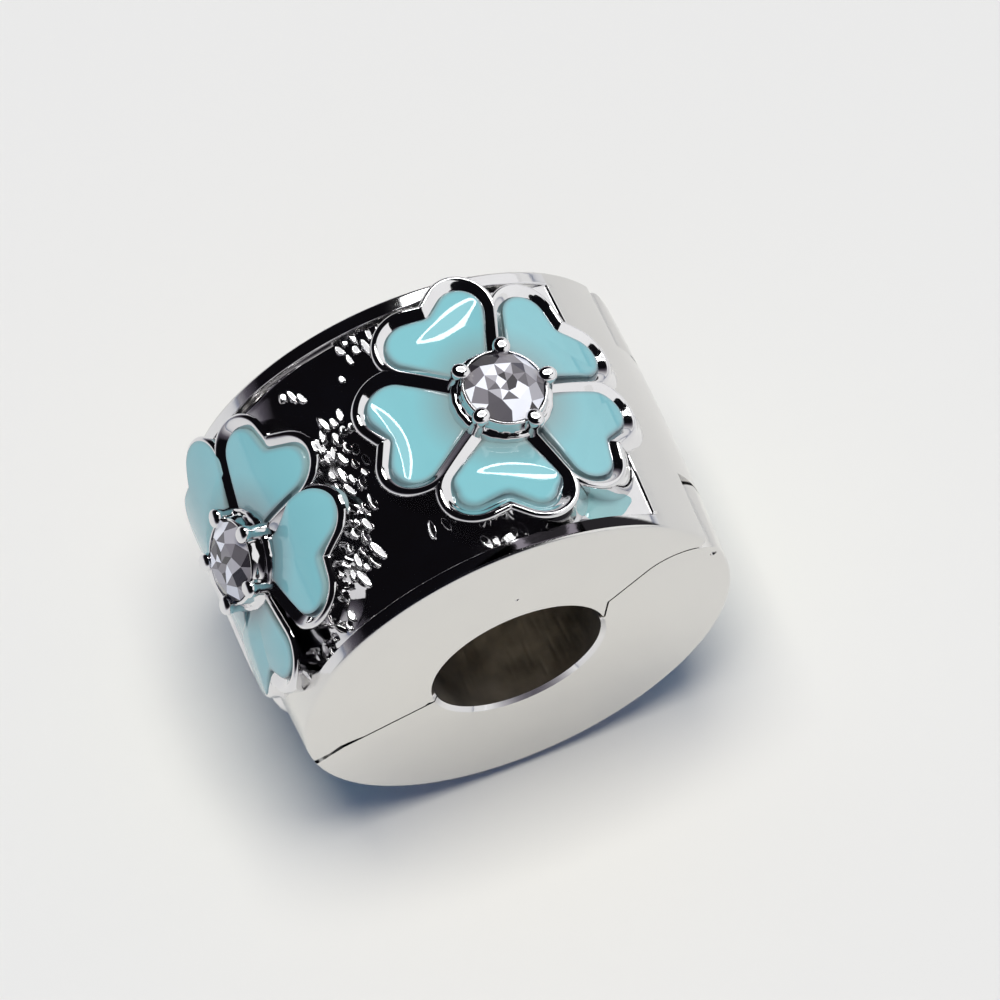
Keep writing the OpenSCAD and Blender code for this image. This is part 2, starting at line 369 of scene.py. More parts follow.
def worn(shader, look):
    # places the shared wear in a material, and mottles it between two colours
    tree = shader.id_data
    wear = newNode(tree, "ShaderNodeGroup", look["wear"], node_tree=surfaceWear)
    relief = newNode(tree, "ShaderNodeBump", {"Strength": look["bump"], "Distance": reliefDistance})
    mix = newNode(tree, "ShaderNodeMix", {"A": look["dull"], "B": look["bright"]}, data_type="RGBA")
    wire(wear, "Height", relief, "Height")
    wire(relief, "Normal", shader, "Normal")
    wire(wear, "Roughness", shader, "Roughness")
    wire(wear, "Mottle", mix, "Factor")
    wire(mix, "Result", shader, "Base Color")
    return mix


def colourOver(shader, under, attribute, colour):
    # lays a colour over the one below, as much as an attribute of the mesh says
    share = newNode(shader.id_data, "ShaderNodeAttribute", attribute_name=attribute)
    mix = newNode(shader.id_data, "ShaderNodeMix", {"B": colour}, data_type="RGBA")
    wire(share, "Fac", mix, "Factor")
    wire(under, "Result", mix, "A")
    wire(mix, "Result", shader, "Base Color")


# the size and the roughness of the wear, how deep it looks, and the two mottled colours
metalFinishes = {
    "platedMetal": {"wear": {"Scale": 900, "Low": 0.03, "High": 0.10}, "bump": 0.25,
                    "bright": (0.86, 0.86, 0.87, 1), "dull": (0.74, 0.73, 0.74, 1),
                    # painted shade: the near-black colour painted along the front rim beside the recess
                    "paintedRimShade": (0.02, 0.018, 0.021, 1)},
    "satinMetal": {"wear": {"Scale": 900, "Low": 0.14, "High": 0.24}, "bump": 0.35,
                   "bright": (0.775, 0.765, 0.74, 1), "dull": (0.71, 0.70, 0.685, 1)},
    "castBore": {"wear": {"Scale": 900, "Low": 0.28, "High": 0.5}, "bump": 1.0,
                 "bright": (0.72, 0.66, 0.56, 1), "dull": (0.13, 0.115, 0.10, 1)},
    "pinSteel": {"wear": {"Scale": 900, "Low": 0.18, "High": 0.35}, "bump": 0.6,
                 "bright": (0.62, 0.62, 0.64, 1), "dull": (0.5, 0.5, 0.52, 1)},
}


def buildMetal(name):
    material, shader = newMaterial(name)
    look = metalFinishes[name]
    setSockets(shader, {"Metallic": 1.0})
    mottled = worn(shader, look)
    # painted shade: where the mesh asks for it, the dark band is laid over the plated colour
    if "paintedRimShade" in look:
        colourOver(shader, mottled, "paintedRimShade", look["paintedRimShade"])
    return material


polished, satin, castBore, pinMetal = (buildMetal(name) for name in metalFinishes)

enamelLook = {
    "wear": {"Scale": 500, "Low": 0.02, "High": 0.06}, "bump": 0.12,
    "bright": (0.25, 0.555, 0.555, 1), "dull": (0.215, 0.51, 0.515, 1), "rim": (0.24, 0.32, 0.315, 1),
    "sockets": {"IOR": 1.52, "Coat Weight": 0.6, "Coat Roughness": 0.02},
}


def buildEnamel():
    material, shader = newMaterial("turquoiseEnamel")
    colourOver(shader, worn(shader, enamelLook), "edge", enamelLook["rim"])
    setSockets(shader, enamelLook["sockets"])
    return material


glaze = buildEnamel()

crystalLook = {
    "sockets": {"Transmission Weight": 0.1, "IOR": 1.62, "Roughness": 0.02},
    # painted reflections: facet colours from dark to white, by the share of light painted on each facet
    "tones": {0.0: (0.03, 0.026, 0.03, 1), 1.0: (1.0, 1.0, 1.0, 1), 0.5: (0.36, 0.335, 0.34, 1)},
}


def fillRamp(ramp, stops):
    # a new ramp has two stops already
    for k, (position, colour) in enumerate(stops.items()):
        stop = ramp.color_ramp.elements[k] if k < 2 else ramp.color_ramp.elements.new(position)
        stop.position = position
        stop.color = colour


def buildCrystal():
    # painted reflections: each facet shows its own painted share of light, standing in for what the foiled
    # back of the stone reflects
    material, shader = newMaterial("clearCrystal")
    setSockets(shader, crystalLook["sockets"])
    tone = newNode(shader.id_data, "ShaderNodeAttribute", attribute_name="tone")
    shade = newNode(shader.id_data, "ShaderNodeValToRGB")
    fillRamp(shade, crystalLook["tones"])
    wire(tone, "Fac", shade, "Fac")
    wire(shade, "Color", shader, "Base Color")
    return material


crystal = buildCrystal()
print("materials ready")


# The recess with its ground

field = {
    "edge": 3.45, "groundRadius": 5.35, "hingeEnd": 56.5, "claspEnd": -83.0,
    # depth share of the recess wall, by distance in from its edge: at the two ends and beside the hinge
    "wallSteps": [0, 0.012, 0.03, 0.045, 0.058, 0.075, 0.105, 0.15, 0.21],
    "wallShares": [0, 0.03, 0.13, 0.38, 0.68, 0.87, 0.955, 0.99, 1.0],
    "slopeSteps": [0, 0.012, 0.03, 0.05, 0.3, 0.6, 0.85, 1.0],
    "slopeShares": [0, 0.03, 0.2, 0.26, 0.5, 0.77, 0.97, 1.0],
    # the recess stops short of its front corner beside the clasp: two places on that line, and its slope
    "corner": ((-67.0, -2.25), (-49.0, -3.45)), "cornerRun": 0.2,
    # lumps of the cast ground: height, width and the radius where their pattern is read
    "lump": 0.012, "lumpSize": 0.9, "lumpRadius": 5.4,
}


def bowRadius(y):
    return bead["bellyRadius"] - (bead["bellyRadius"] - bead["endRadius"]) * (y / bead["halfLength"]) ** 2


def pastCorner(turn, y):
    # distance into the recess from the line that closes its front corner beside the clasp
    (fromAngle, fromY), (toAngle, toY) = field["corner"]
    run = np.array([math.radians(toAngle - fromAngle) * field["groundRadius"], toY - fromY])
    run /= np.hypot(*run)
    return (y - fromY) * run[0] - (turn - math.radians(fromAngle)) * field["groundRadius"] * run[1]


def recessShare(turn, y):
    # how much of the recess's full depth there is at a place on the bead
    inTurn = np.minimum(turn - math.radians(field["claspEnd"]), math.radians(field["hingeEnd"]) - turn)
    past = np.clip(pastCorner(turn, y) / field["cornerRun"], 0, 1)
    return np.interp(field["edge"] - np.abs(y), field["wallSteps"], field["wallShares"]) \
        * np.interp(inTurn * field["groundRadius"], field["slopeSteps"], field["slopeShares"]) * eased(past)


def recessRadius(turn, y, seed):
    # radius of the bead's outer surface with its recess
    share = recessShare(turn, y)
    spot = roundBead(turn, y, field["lumpRadius"])
    lumps = field["lump"] * smoothNoise(spot, field["lumpSize"], seed).reshape(turn.shape)
    bow = bowRadius(y)
    return bow - share * (bow - field["groundRadius"]) + share ** 2 * lumps


# The shells before they are cut

# lines of the mesh, closer together where it bends; angles round the bead, places along it, radii
shellGrid = {
    "field": 0.055, "edgeSteps": 7, "boreLines": 44,
    "claspTurns": [-90, -88.9, -88.2, -87, -85.5, -84.2, -83.3], "hingeTurns": [58.3, 59.2],
    "plainTurns": (60.5, 117, 1.5),
    "landLines": [3.7, 3.67, 3.64, 3.61, 3.58, 3.55, 3.52, 3.49, 3.46],
    "endStep": 0.03, "endRadii": [4.9, 4.2, 3.5, 2.9, 2.45, 2.33],
}
# the rough cast skin of the bore: its depth, the size of its waves and of finer ones, and their share
boreSkin = {"depth": 0.03, "size": 0.5, "fineSize": 0.2, "fineShare": 0.6}


def edgeArc():
    # the rounded outer edge at the back end, from the end face to the bowed side
    turn = np.radians(np.linspace(90, 0, shellGrid["edgeSteps"]))
    y = bead["halfLength"] - bead["edgeRound"] + bead["edgeRound"] * np.sin(turn)
    return np.stack([bowRadius(y) - bead["edgeRound"] * (1 - np.cos(turn)), y], axis=1)


def fieldLines(low, high, unit):
    # lines across the recess, closer at its two walls; unit is the millimetres in what low and high count
    steps = np.array(field["wallSteps"]) / unit
    count = int((high - low - 2 * steps[-1]) * unit / shellGrid["field"])
    inner = np.linspace(low + steps[-1], high - steps[-1], count)
    return np.concatenate([low + steps[:-1], inner, high - steps[-2::-1]])


def boreRoughness(turn, y, seed):
    spot = roundBead(turn, y, bead["boreRadius"])
    waves = np.abs(smoothNoise(spot, boreSkin["size"], seed + 5))
    fine = np.abs(smoothNoise(spot, boreSkin["fineSize"], seed + 6))
    return boreSkin["depth"] * (waves + boreSkin["fineShare"] * fine).reshape(turn.shape)


def shellBlank(seed):
    # one half barrel with its recess, from the clasp seam over the top to past the hinge
    degree = math.pi / 180 * field["groundRadius"]
    turns = np.concatenate([
        shellGrid["claspTurns"], fieldLines(field["claspEnd"], field["hingeEnd"], degree),
        shellGrid["hingeTurns"], np.arange(*shellGrid["plainTurns"])])
    arc, half, bore = edgeArc(), bead["halfLength"], shellGrid["boreLines"]
    ys = fieldLines(-field["edge"], field["edge"], 1.0)
    land = np.array(shellGrid["landLines"])
    middleY = np.concatenate([-land, ys, land[::-1]])
    outerY = np.concatenate([-arc[1:, 1], middleY, arc[:0:-1, 1]])
    outerR = np.concatenate([arc[1:, 0], bowRadius(middleY), arc[:0:-1, 0]])
    endR = np.array([arc[0, 0], arc[0, 0] - shellGrid["endStep"]] + shellGrid["endRadii"])
    endY = np.full(len(endR), half)
    boreY = np.linspace(half - bead["mouthBevel"], bead["mouthBevel"] - half, bore)
    boreR = np.full(bore, bead["boreRadius"])
    mouth = bead["boreRadius"] + bead["mouthBevel"]
    profileR = np.concatenate([outerR, endR, [mouth], boreR, [mouth], endR[::-1]])
    profileY = np.concatenate([outerY, endY, [half], boreY, [-half], -endY])
    turn, radius = np.meshgrid(np.radians(turns), profileR, indexing="ij")
    y = np.broadcast_to(profileY, radius.shape).copy()
    outside = np.arange(len(profileR)) < len(outerR)
    recessed = outside & (recessShare(turn, y) > 0)
    radius = np.where(recessed, recessRadius(turn, y, seed), radius)
    # the bore is left as cast, apart from its mouths
    boreStart = len(outerR) + len(endR) + 1
    inBore = np.zeros(len(profileR), bool)
    inBore[boreStart + 1:boreStart + bore - 2] = True
    radius = radius + boreRoughness(turn, y, seed) * inBore
    turn = turn.copy()
    turn[0] = -np.arccos(bead["seamGap"] / radius[0])
    return roundBead(turn, y, radius), closedFaces(*radius.shape)


# The cuts for the hinge, the clasp and the wear

hinge = {
    "pinX": 4.4, "pinRadius": 0.45, "pinRoom": 0.02, "pinCover": 0.4, "pinStep": 7.5, "pinBevel": 0.04,
    "pinSharp": 50, "knuckleRadius": 1.33, "knuckleHalf": 1.9, "turnGap": 0.05,
    # the step in the seam beside the ears, and the angle where the halves part outside the hinge
    "step": (2.36, 0.0), "top": (2.62, 0.62), "partAngle": 52.0,
    "arcStep": 1.5, "cutReach": 8.0,
}
clasp = {
    # the tongue's thickness, width and depth, and its place
    "tongue": (0.5, 2.8, 1.1), "tongueX": 3.9, "tongueRoot": 0.3, "tongueCorner": 0.06, "tongueBevel": 0.05,
    "slotRoom": 0.14, "nailReach": 0.8, "nailWidth": 0.2,
    # the fingernail bevel stops just above the seam's face, so that the two don't coincide
    "nailLift": 0.0005,
    # worn notches in the upper half's front seam edge, drawn across the seam, and how deep they go
    "notches": [[(-5.25, 0.0), (-5.02, 0.075), (-4.84, 0.135), (-4.62, 0.12), (-4.35, 0.065), (-4.1, 0.0)],
                [(-2.62, 0.0), (-2.45, 0.09), (-2.3, 0.0)]],
    "notchDepth": 1.2,
}
# small dents in the front face: half, place across, height and radius, and how far out the balls lie
dents = {"places": [("upper", 0.8, 3.09, 0.05), ("lower", 5.4, 0.44, 0.09)], "out": 0.1}
# how far in the middle point of a rounded corner lies, as a share of its size
roundShare = 0.3


def prism(outline, yFrom, yTo):
    # a cutter with an outline across X and Z
    count = len(outline)
    points = [(x, y, z) for y in (yFrom, yTo) for x, z in outline]
    faces = [tuple(range(count)), tuple(range(count, 2 * count))]
    faces += [(k, (k + 1) % count, count + (k + 1) % count, count + k) for k in range(count)]
    cutter = meshObject("cutter", points, faces)
    tidyMesh(cutter)
    return cutter


def shrunk(outline, share):
    middle = outline.mean(0)
    return middle + (outline - middle) * share


def roundPrism(outline, low, high, bevel):
    # a rod or block along Y with a small bevel at both ends
    outline = np.asarray(outline, float)
    size = np.abs(outline - outline.mean(0)).max()
    slight = roundShare * bevel
    end, nearEnd = shrunk(outline, 1 - bevel / size), shrunk(outline, 1 - slight / size)
    layers = [(low, end), (low + slight, nearEnd), (low + bevel, outline),
              (high - bevel, outline), (high - slight, nearEnd), (high, end)]
    count = len(outline)
    points = np.vstack([np.column_stack([ring[:, 0], np.full(count, y), ring[:, 1]]) for y, ring in layers])
    return points, closedFaces(len(layers), count)


def arcPoints(radius, start, end, step=hinge["arcStep"]):
    # part of a circle about the pin, in degrees up from +X
    count = max(2, int(abs(end - start) / step))
    turn = np.radians(np.linspace(start, end, count))
    return [(hinge["pinX"] + radius * math.cos(a), radius * math.sin(a)) for a in turn]


def seamOutline(gap, level):
    # the step and the ramp beside the ears, from the seam's level up to where the knuckle's circle starts
    pin = np.array([hinge["pinX"], 0.0])
    top, foot = np.array(hinge["top"]), np.array(hinge["step"])
    away = top - pin
    ramp = math.atan2(away[1], away[0]) - math.acos(hinge["knuckleRadius"] / np.hypot(*away))
    rampSide = np.array([math.cos(ramp), math.sin(ramp)])
    run = (top - foot) / np.hypot(*(top - foot))
    stepSide = np.array([-run[1], run[0]])
    grownTop = top + gap * (rampSide + stepSide) / (1 + rampSide @ stepSide)
    grownFoot = foot + gap * stepSide
    crossing = grownFoot + run * (level - grownFoot[1]) / run[1]
    return [tuple(crossing), tuple(grownTop)], math.degrees(ramp)


def partingEnd(side):
    # the rest of a cutter's outline, from the slanted line where the halves part outside the hinge
    part, far = side * math.radians(hinge["partAngle"]), hinge["cutReach"]
    return [(hinge["pinX"] + far * math.cos(part), far * math.sin(part)),
            (1.5 * far, -side * far), (0, -side * far)]


def plainEnd(side):
    # the rest of a cutter's outline, from the middle of the hinge straight out
    far = hinge["cutReach"]
    return [(far, 0), (far, -side * far), (0, -side * far)]


def pinHole(low, high):
    radius = hinge["pinRadius"] + hinge["pinRoom"]
    return prism(arcPoints(radius, 0, 360 - hinge["pinStep"], hinge["pinStep"]), low, high)


def dentCutters(half):
    # small balls that leave shallow round dents in the front face
    balls = []
    for side, across, height, radius in dents["places"]:
        if side != half:
            continue
        work = bmesh.new()
        bmesh.ops.create_icosphere(work, subdivisions=2, radius=radius)
        ball = meshObject("dent", [], [])
        work.to_mesh(ball.data)
        work.free()
        ball.location = (across, -bead["halfLength"] - dents["out"] * radius, height)
        balls.append(ball)
    return balls


def carve(piece, cutters):
    for cutter in cutters:
        cut = piece.modifiers.new("cut", "BOOLEAN")
        cut.operation = "DIFFERENCE"
        cut.solver = "EXACT"
        cut.object = cutter
    graph = bpy.context.evaluated_depsgraph_get()
    carved = bpy.data.meshes.new_from_object(piece.evaluated_get(graph))
    piece.modifiers.clear()
    old, piece.data = piece.data, carved
    carved.name = piece.name
    bpy.data.meshes.remove(old)
    for cutter in cutters:
        bpy.data.meshes.remove(cutter.data)


def tongueOutline():
    thick, wide, deep = clasp["tongue"]
    left, right = -clasp["tongueX"] - thick / 2, -clasp["tongueX"] + thick / 2
    root, corner = clasp["tongueRoot"], clasp["tongueCorner"]
    slight, tip = roundShare * corner, -deep
    return [(left, root), (left, tip + corner), (left + slight, tip + slight), (left + corner, tip),
            (right - corner, tip), (right - slight, tip + slight), (right, tip + corner), (right, root)]


def upperShell():
    # the ears' places cut away, the middle knuckle left, and the tongue joined on
    piece = meshObject("upperShell", *shellBlank(bead["castSeeds"]["upper"]))
    tidyMesh(piece)
    gap, level, knuckle = hinge["turnGap"], bead["seamGap"], hinge["knuckleRadius"]
    inner, outer = hinge["knuckleHalf"], bead["halfLength"] + 1
    seam, ramp = seamOutline(gap, level)
    aroundEar = [(0, level)] + seam + arcPoints(knuckle + gap, ramp, hinge["partAngle"]) + partingEnd(1)
    knuckleStart = 180 - math.degrees(math.asin(level / knuckle))
    underKnuckle = [(0, level)] + arcPoints(knuckle, knuckleStart, 360) + plainEnd(1)
    notchEnd = clasp["notchDepth"] - bead["halfLength"]
    notches = [prism(outline, -outer, notchEnd) for outline in clasp["notches"]]
    cutters = [prism(aroundEar, -outer, -inner), prism(aroundEar, inner, outer),
               prism(underKnuckle, -inner, inner), pinHole(-outer, outer)]
    carve(piece, cutters + notches + dentCutters("upper"))
    wide = clasp["tongue"][1]
    addPart(piece, *roundPrism(tongueOutline(), -wide / 2, wide / 2, clasp["tongueBevel"]))
    return piece


def lowerShell():
    # the middle knuckle's place cut away, the two ears left, with the slot and the fingernail bevel
    points, faces = shellBlank(bead["castSeeds"]["lower"])
    piece = meshObject("lowerShell", mirrorDown(points), faces)
    tidyMesh(piece)
    gap, level, knuckle = hinge["turnGap"], -bead["seamGap"], hinge["knuckleRadius"]
    inner, outer = hinge["knuckleHalf"] + gap, bead["halfLength"] + 1
    seam, ramp = seamOutline(0, level)
    aboveEar = [(0, level)] + seam + arcPoints(knuckle, ramp, 0) + plainEnd(-1)
    knuckleStart = 180 + math.degrees(math.asin(-level / (knuckle + gap)))
    aroundKnuckle = [(0, level)] + arcPoints(knuckle + gap, knuckleStart, 360 - hinge["partAngle"])
    aroundKnuckle += partingEnd(-1)
    thick, wide, deep = clasp["tongue"]
    spare = clasp["slotRoom"]
    left, right = -clasp["tongueX"] - thick / 2 - spare, -clasp["tongueX"] + thick / 2 + spare
    slot = [(left, 1), (right, 1), (right, -deep - spare), (left, -deep - spare)]
    edge, reach = -bead["endRadius"], -bead["endRadius"] + clasp["nailReach"]
    nail = [(edge - 1, 1), (edge - 1, -clasp["nailWidth"]), (edge, -clasp["nailWidth"]),
            (reach, level + clasp["nailLift"]), (reach, 1)]
    cutters = [prism(aboveEar, -outer, -inner), prism(aboveEar, inner, outer),
               prism(aroundKnuckle, -inner, inner),
               pinHole(hinge["pinCover"] - bead["halfLength"], outer),
               prism(slot, -wide / 2 - spare, wide / 2 + spare), prism(nail, -outer, outer)]
    carve(piece, cutters + dentCutters("lower"))
    return piece


# The shells' finishes

# painted shade: a near-black band is painted on the front rim beside the recess, where that rim lies in
# shade and reflects the dark: from and to which angle, its width and where it tapers
paintedRimShade = {
    "from": 2.0, "to": 57.0, "width": 0.34, "taper": 15.0, "taperPower": 0.7, "front": -3.76, "soft": 0.06,
    "rim": 0.3,
}
# where the satin faces and the cast bore begin: flatness, radii, room at the bore and at its mouths
finishes = {"flat": 0.95, "outer": 5.2, "edge": 5.3, "boreRoom": 0.06, "mouth": 0.11, "sharp": 32}


# how much of the painted shade band covers each point of a shell
def paintedRimShadeShare(spots):
    turn = np.degrees(np.arctan2(spots[:, 0], np.abs(spots[:, 2])))
    toHinge = np.clip((paintedRimShade["to"] - turn) / paintedRimShade["taper"], 0, 1) ** paintedRimShade["taperPower"]
    toTop = np.clip((turn - paintedRimShade["from"]) / paintedRimShade["taper"], 0, 1)
    width = paintedRimShade["width"] * toHinge * toTop
    inside = (paintedRimShade["front"] + width - spots[:, 1]) / paintedRimShade["soft"] + 0.5
    outer = np.hypot(spots[:, 0], spots[:, 2]) > bead["endRadius"] - paintedRimShade["rim"]
    return np.where(outer & (width > 0) & (spots[:, 2] > 0), np.clip(inside, 0, 1), 0)


def dressShell(piece, body, node):
    # polished outside, satin on the end faces and past the recess, the bore as cast
    mesh = piece.data
    flatness = np.abs(readRows(mesh.polygons, "normal")[:, 1])
    middles = readRows(mesh.polygons, "center")
    out, y = np.hypot(middles[:, 0], middles[:, 2]), middles[:, 1]
    turn = np.arctan2(middles[:, 0], np.abs(middles[:, 2]))
    ends = (turn > math.radians(field["hingeEnd"])) | (turn < math.radians(field["claspEnd"])) \
        | (pastCorner(turn, y) < 0)
    rounded = (np.abs(y) > bead["halfLength"] - bead["edgeRound"]) & (out > finishes["edge"])
    bare = (out > finishes["outer"]) & (ends | rounded)
    choice = np.where((flatness > finishes["flat"]) | bare, 1, 0)
    inBore = np.abs(y) < bead["halfLength"] - finishes["mouth"]
    choice[(out < bead["boreRadius"] + finishes["boreRoom"]) & inBore] = 2
    # painted shade: the dark band along the front rim, read by the plated finish
    addShares(piece, "paintedRimShade", "POINT", paintedRimShadeShare(readRows(mesh.vertices, "co")))
    finishPiece(piece, body, [polished, satin, castBore], finishes["sharp"], [node])
    mesh.polygons.foreach_set("material_index", choice.astype(np.int32))


upper = upperShell()
lower = lowerShell()
dressShell(upper, "upper", "upper_shell")
dressShell(lower, "lower", "lower_shell")
print("shells ready:", len(upper.data.polygons), len(lower.data.polygons))


# The hinge pin

def hingePin():
    turn = np.radians(np.arange(0, 360, hinge["pinStep"]))
    radius = hinge["pinRadius"]
    ring = np.stack([hinge["pinX"] + radius * np.cos(turn), radius * np.sin(turn)], axis=1)
    low = hinge["pinCover"] + hinge["pinRoom"] - bead["halfLength"]
    high = bead["halfLength"] - hinge["pinRoom"]
    piece = meshObject("hingePin", *roundPrism(ring, low, high, hinge["pinBevel"]))
    tidyMesh(piece)
    return finishPiece(piece, "lower", [pinMetal], hinge["pinSharp"], ["hinge_pin"])


hingePin()
print("hinge pin ready")


# Cast flowers

pocket = {
    # radius about the bore by distance out from the enamel's edge: pocket, rounded rim, wall, foot
    "steps": [-0.10, -0.092, -0.085, -0.07, -0.03, 0.02, 0.07, 0.11, 0.145, 0.178, 0.205, 0.23, 0.252, 0.27,
              0.284, 0.294, 0.302, 0.310, 0.318, 0.328, 0.342, 0.36, 0.375, 0.39],
    "radii": [5.74, 5.84, 5.875, 5.895, 5.922, 5.957, 5.993, 6.02, 6.04, 6.051, 6.054, 6.049, 6.035, 6.012,
              5.97, 5.90, 5.78, 5.62, 5.47, 5.41, 5.375, 5.35, 5.31, 5.25],
    # the steps up to this one follow enamel that stops short, and the floor falls by this share of it
    "innerSteps": -0.05, "shortFall": 0.44,
    # the middle of the flower is level, out to a distance from the stem and fading over another
    "hubRadius": 5.45, "hubReach": 0.92, "hubFade": 0.1, "hubStart": 0.02,
    # from this step on the wall drops straight, with a little draft, under walls that face up enough
    "dropStep": 0.284, "draft": 0.3, "facing": 0.6, "lowest": 0.05,
    # room left at the ends, the seam and the knuckles, and the radius inside the shell where it ends
    "footLimit": 3.78, "aboveSeam": 0.04, "aboveKnuckle": 1.5, "sunkRadius": 5.0,
    "weld": 0.0004, "sharp": 60,
}


def limitOut(points, outward, skew):
    # how far each outward line runs before it meets the next petal's or the notch's other side
    least, far = 1e-6, 9.0
    limit = np.full(len(points), far)
    for sign in (1, -1):
        half = math.pi / flower["petals"] - sign * skew
        away = points[:, 0] * math.sin(half) - sign * points[:, 1] * math.cos(half)
        rate = sign * outward[:, 1] * math.cos(half) - outward[:, 0] * math.sin(half)
        limit = np.where(rate > least, np.minimum(limit, away / np.maximum(rate, least)), limit)
    crossing = (points[:, 0] > 2) & (points[:, 1] * outward[:, 1] < -1e-9)
    toMiddle = np.abs(points[:, 1]) / np.maximum(np.abs(outward[:, 1]), 1e-9)
    return np.maximum(np.where(crossing, np.minimum(limit, toMiddle), limit), 0.0)


def drawnStraight(ring, run, radius, p, number):
    # the outer wall drops straight down from the rim, the way the mould draws, except under the far side
    edge = np.minimum(run, pocket["dropStep"])
    held = edge + pocket["draft"] * (run - edge)
    way, index = petalTurn(p, number), planIndex(number)
    plan = turned(heart + heartOut * held[:, None], way)
    top = onBead(plan, np.interp(edge, pocket["steps"], pocket["radii"]), index)
    top[:, 2] = np.sqrt(np.maximum(radius ** 2 - top[:, 0] ** 2, pocket["lowest"] ** 2))
    share = np.ones(len(run))
    if index == 1:
        share = np.clip(turned(heartOut, way)[:, 0] / pocket["facing"] + 0.5, 0, 1)
    share = np.where(run > edge, share, 0)[:, None]
    return ring + share * (top - ring)


def clearOfSeam(ring, number):
    # heights of a ring, kept off the seam, the knuckles and, on the lower half, the fingernail bevel
    least = np.full(len(ring), pocket["aboveSeam"])
    if bodyOf(number) == "lower":
        share = np.clip((clasp["nailReach"] - bead["endRadius"] - ring[:, 0]) / clasp["nailReach"], 0, 1)
        least += share * (clasp["nailWidth"] - bead["seamGap"])
    least[ring[:, 0] > hinge["pinX"] - hinge["knuckleRadius"]] = pocket["aboveKnuckle"]
    return np.maximum(ring[:, 2], least)


def pocketRing(step, limit, p, number):
    # one ring of a petal's pocket, at a distance out from the enamel's edge
    run = np.minimum(step, limit)
    if step == pocket["steps"][-1]:
        run = np.where(heart[:, 0] < flower["start"] + pocket["hubStart"], limit, run)
    shift = shortBy(heart[:, 0], number, p) if step < pocket["innerSteps"] else 0.0
    plan = turned(heart + heartOut * (run - shift)[:, None], petalTurn(p, number))
    radius = np.interp(run, pocket["steps"], pocket["radii"]) - pocket["shortFall"] * shift
    fade = np.clip((np.hypot(*plan.T) - pocket["hubReach"]) / pocket["hubFade"], 0, 1)
    radius = pocket["hubRadius"] + (radius - pocket["hubRadius"]) * eased(fade)
    ring = drawnStraight(onBead(plan, radius, planIndex(number)), run, radius, p, number)
    ring[:, 1] = np.clip(ring[:, 1], -pocket["footLimit"], pocket["footLimit"])
    ring[:, 2] = clearOfSeam(ring, number)
    return ring


def castFlower(number):
    # five closed heart pockets that meet on the lines between them
    piece = meshObject(f"castFlower{number}", [], [])
    for p in petals:
        limit = limitOut(heart, heartOut, math.radians(flower["askew"].get((number, p), 0.0)))
        rings = [pocketRing(step, limit, p, number) for step in pocket["steps"]]
        sunk = rings[-1].copy()
        sunk[:, [0, 2]] *= (pocket["sunkRadius"] / np.hypot(sunk[:, 0], sunk[:, 2]))[:, None]
        sunk[:, 2] = clearOfSeam(sunk, number)
        points = np.vstack(rings + [sunk])
        addPart(piece, onItsHalf(points, number), closedFaces(len(rings) + 1, len(heart)), pocket["weld"])
    return finishPiece(piece, bodyOf(number), [polished], pocket["sharp"])


flowerPieces = [castFlower(number) for number in flower["numbers"]]
print("flowers ready:", sum(len(piece.data.polygons) for piece in flowerPieces))


# Enamel

enamel = {
    "gap": 0.088, "level": 5.985, "floorRadius": 5.76, "centre": 2.05, "sharp": 50,
    # rings of the mesh: steps in from the edge, then even shares to the middle
    "steps": [0, 0.015, 0.035, 0.06, 0.09, 0.13, 0.18, 0.24], "shares": 15,
    # the rounded shoulder at the edge, wider and lower where the enamel stops short
    "shoulder": 0.05, "shoulderDrop": 0.02, "shortWiden": 0.7, "shortDrop": 0.5,
    # it sinks a little beside the stone
    "sink": 0.03, "sinkFrom": 1.1, "sinkRun": 1.0, "sinkPower": 1.5,
    # the ridge's rounding, the soft step's width, then where enamel over the rim starts, how far and high
    "roofRound": 0.195, "stepWidth": 0.15,
    "floodFrom": 1.25, "floodRun": 0.6, "floodOut": 0.29, "floodUp": 0.1,
}
# the ridge across a petal's enamel, by place of the flower and petal: its place along the petal, its bend
# and the middle of the bend, then the slope away from it, the height of a soft step up outward, the tilt
# down to the stone and the crown
ridges = {
    (0, 1): (2.55, 0.2, 0.1, 0.0, 0.2, -0.07, -0.045), (0, 2): (2.38, 0.06, 0.0, 0.13, 0.0, 0.0, 0.004),
    (0, 3): (2.3, 0.12, 0.0, 0.0, 0.0, -0.08, 0.0), (0, 4): (2.3, 0.12, 0.0, 0.0, 0.0, -0.08, 0.0),
    (0, 5): (2.02, 0.06, 0.3, 0.13, 0.0, 0.0, 0.004),
}
plainRidge = (2.3, 0.12, 0.0, 0.0, 0.0, 0.0, 0.008)
# petals whose enamel has run over the rim: how much of it all round, and the lean to one side
floods = {(2, 2): (1.0, 0.0), (2, 4): (0.0, 0.8), (2, 5): (0.0, -1.5)}
# the enamel greys at its edge and where it is thin beside the stone
greying = {
    "edge": 0.7, "edgeWidth": 0.07,
    "thin": 0.95, "thinFrom": 1.15, "thinRun": 0.95, "thinPower": 1.15,
}


def flooded(u, v, number, p):
    # how much of the enamel at a place on the petal has run over the rim
    everywhere, aside = floods.get((number, p), (0, 0))
    outer = np.clip((u - enamel["floodFrom"]) / enamel["floodRun"], 0, 1)
    return np.clip(everywhere + aside * v, 0, 1) * outer


